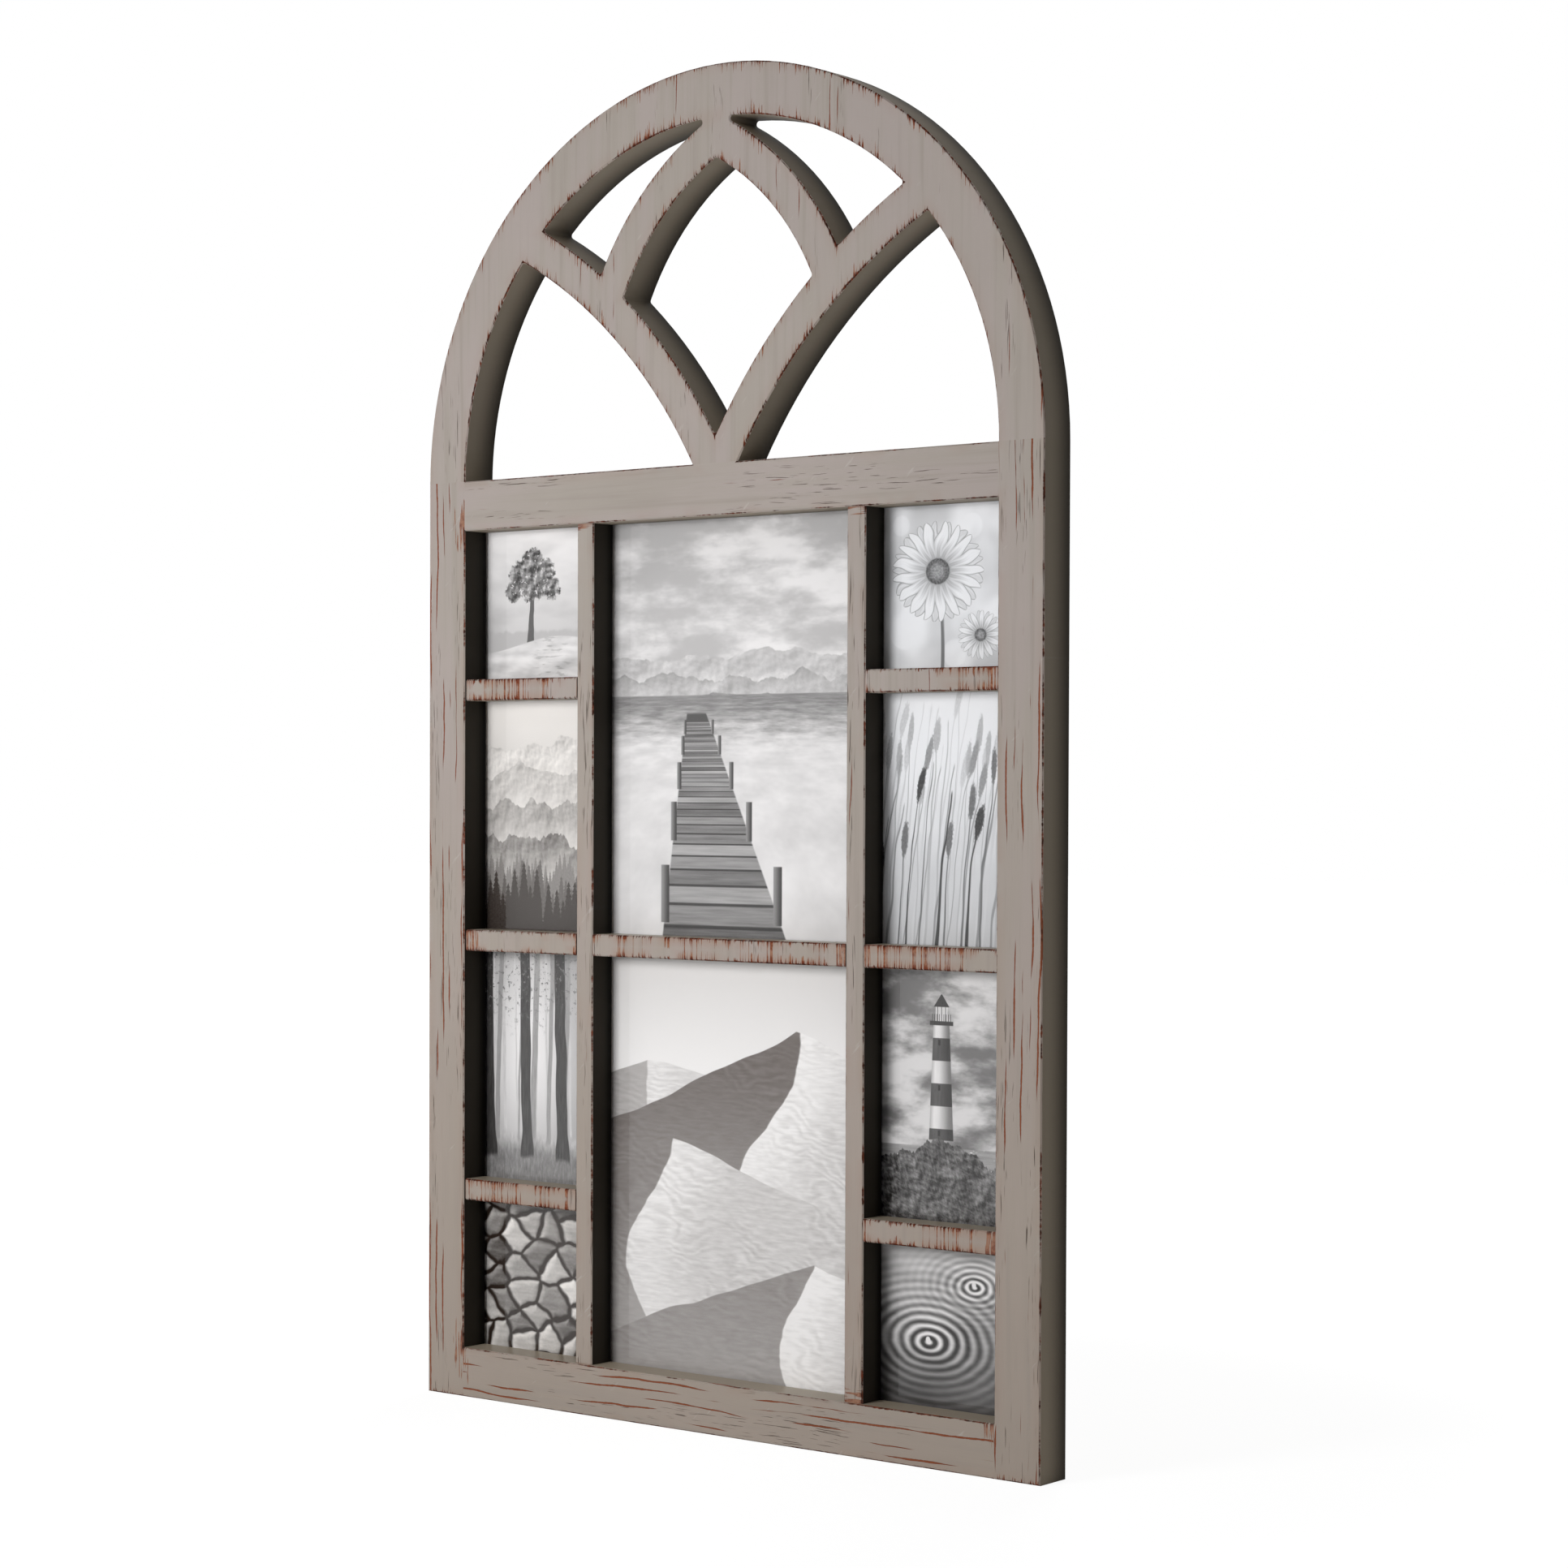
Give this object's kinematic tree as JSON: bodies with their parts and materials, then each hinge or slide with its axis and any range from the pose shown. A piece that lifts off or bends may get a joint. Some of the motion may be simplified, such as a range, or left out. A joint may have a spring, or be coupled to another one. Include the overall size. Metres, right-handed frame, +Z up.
{
  "type": "collage photo frame",
  "caption": "Arched wall frame made like an old window, with tracery in the arch and glazed openings for photographs, closed behind by boards that turn buttons hold.",
  "frame": {"origin": "midway between the keyholes of the two hanger plates, on the back of the wood", "axes": "+X to the viewer's right, +Y into the wall, +Z up; the front looks along -Y"},
  "size_m": [0.4712, 0.0283, 0.8138],
  "materials": {
    "painted_wood": "taupe grey paint with rust-brown wear",
    "pane_glass": "clear float glass",
    "photo_paper": "monochrome photographic print",
    "hardboard": "brown hardboard",
    "zinc_steel": "zinc plated"
  },
  "bodies": {
    "frame": {"arch_panel": "painted_wood", "left_stile": "painted_wood", "right_stile": "painted_wood", "top_rail": "painted_wood", "bottom_rail": "painted_wood", "left_mullion": "painted_wood", "right_mullion": "painted_wood", "left_muntin_upper": "painted_wood", "left_muntin_middle": "painted_wood", "left_muntin_lower": "painted_wood", "centre_muntin": "painted_wood", "right_muntin_upper": "painted_wood", "right_muntin_middle": "painted_wood", "right_muntin_lower": "painted_wood", "glass_left_1": "pane_glass", "glass_left_2": "pane_glass", "glass_left_3": "pane_glass", "glass_left_4": "pane_glass", "glass_centre_1": "pane_glass", "glass_centre_2": "pane_glass", "glass_right_1": "pane_glass", "glass_right_2": "pane_glass", "glass_right_3": "pane_glass", "glass_right_4": "pane_glass", "print_left_1": "photo_paper", "print_left_2": "photo_paper", "print_left_3": "photo_paper", "print_left_4": "photo_paper", "print_centre_1": "photo_paper", "print_centre_2": "photo_paper", "print_right_1": "photo_paper", "print_right_2": "photo_paper", "print_right_3": "photo_paper", "print_right_4": "photo_paper", "back_board_left": "hardboard", "back_board_centre": "hardboard", "back_board_right": "hardboard", "button_screws": "zinc_steel", "hanger_plates": "zinc_steel", "hanger_screws": "zinc_steel"},
    "button_left_1": {"button_left_1": "zinc_steel"},
    "button_left_2": {"button_left_2": "zinc_steel"},
    "button_right_1": {"button_right_1": "zinc_steel"},
    "button_right_2": {"button_right_2": "zinc_steel"},
    "button_top_1": {"button_top_1": "zinc_steel"},
    "button_top_2": {"button_top_2": "zinc_steel"},
    "button_top_3": {"button_top_3": "zinc_steel"},
    "button_top_4": {"button_top_4": "zinc_steel"},
    "button_bottom_1": {"button_bottom_1": "zinc_steel"},
    "button_bottom_2": {"button_bottom_2": "zinc_steel"},
    "button_bottom_3": {"button_bottom_3": "zinc_steel"},
    "button_bottom_4": {"button_bottom_4": "zinc_steel"}
  },
  "joints": [
    {"name": "button_left_1_turn", "type": "hinge", "parent": "frame", "child": "button_left_1", "pos_m": [-0.218, 0.0006, -0.0713], "axis": [0, 1, 0], "continuous": true},
    {"name": "button_left_2_turn", "type": "hinge", "parent": "frame", "child": "button_left_2", "pos_m": [-0.218, 0.0006, -0.3869], "axis": [0, 1, 0], "continuous": true},
    {"name": "button_right_1_turn", "type": "hinge", "parent": "frame", "child": "button_right_1", "pos_m": [0.218, 0.0006, -0.0713], "axis": [0, 1, 0], "continuous": true},
    {"name": "button_right_2_turn", "type": "hinge", "parent": "frame", "child": "button_right_2", "pos_m": [0.218, 0.0006, -0.3869], "axis": [0, 1, 0], "continuous": true},
    {"name": "button_top_1_turn", "type": "hinge", "parent": "frame", "child": "button_top_1", "pos_m": [-0.1578, 0.0006, 0.0424], "axis": [0, 1, 0], "continuous": true},
    {"name": "button_top_2_turn", "type": "hinge", "parent": "frame", "child": "button_top_2", "pos_m": [-0.0488, 0.0006, 0.0424], "axis": [0, 1, 0], "continuous": true},
    {"name": "button_top_3_turn", "type": "hinge", "parent": "frame", "child": "button_top_3", "pos_m": [0.0488, 0.0006, 0.0424], "axis": [0, 1, 0], "continuous": true},
    {"name": "button_top_4_turn", "type": "hinge", "parent": "frame", "child": "button_top_4", "pos_m": [0.1578, 0.0006, 0.0424], "axis": [0, 1, 0], "continuous": true},
    {"name": "button_bottom_1_turn", "type": "hinge", "parent": "frame", "child": "button_bottom_1", "pos_m": [-0.1578, 0.0006, -0.5006], "axis": [0, 1, 0], "continuous": true},
    {"name": "button_bottom_2_turn", "type": "hinge", "parent": "frame", "child": "button_bottom_2", "pos_m": [-0.0488, 0.0006, -0.5006], "axis": [0, 1, 0], "continuous": true},
    {"name": "button_bottom_3_turn", "type": "hinge", "parent": "frame", "child": "button_bottom_3", "pos_m": [0.0488, 0.0006, -0.5006], "axis": [0, 1, 0], "continuous": true},
    {"name": "button_bottom_4_turn", "type": "hinge", "parent": "frame", "child": "button_bottom_4", "pos_m": [0.1578, 0.0006, -0.5006], "axis": [0, 1, 0], "continuous": true}
  ]
}
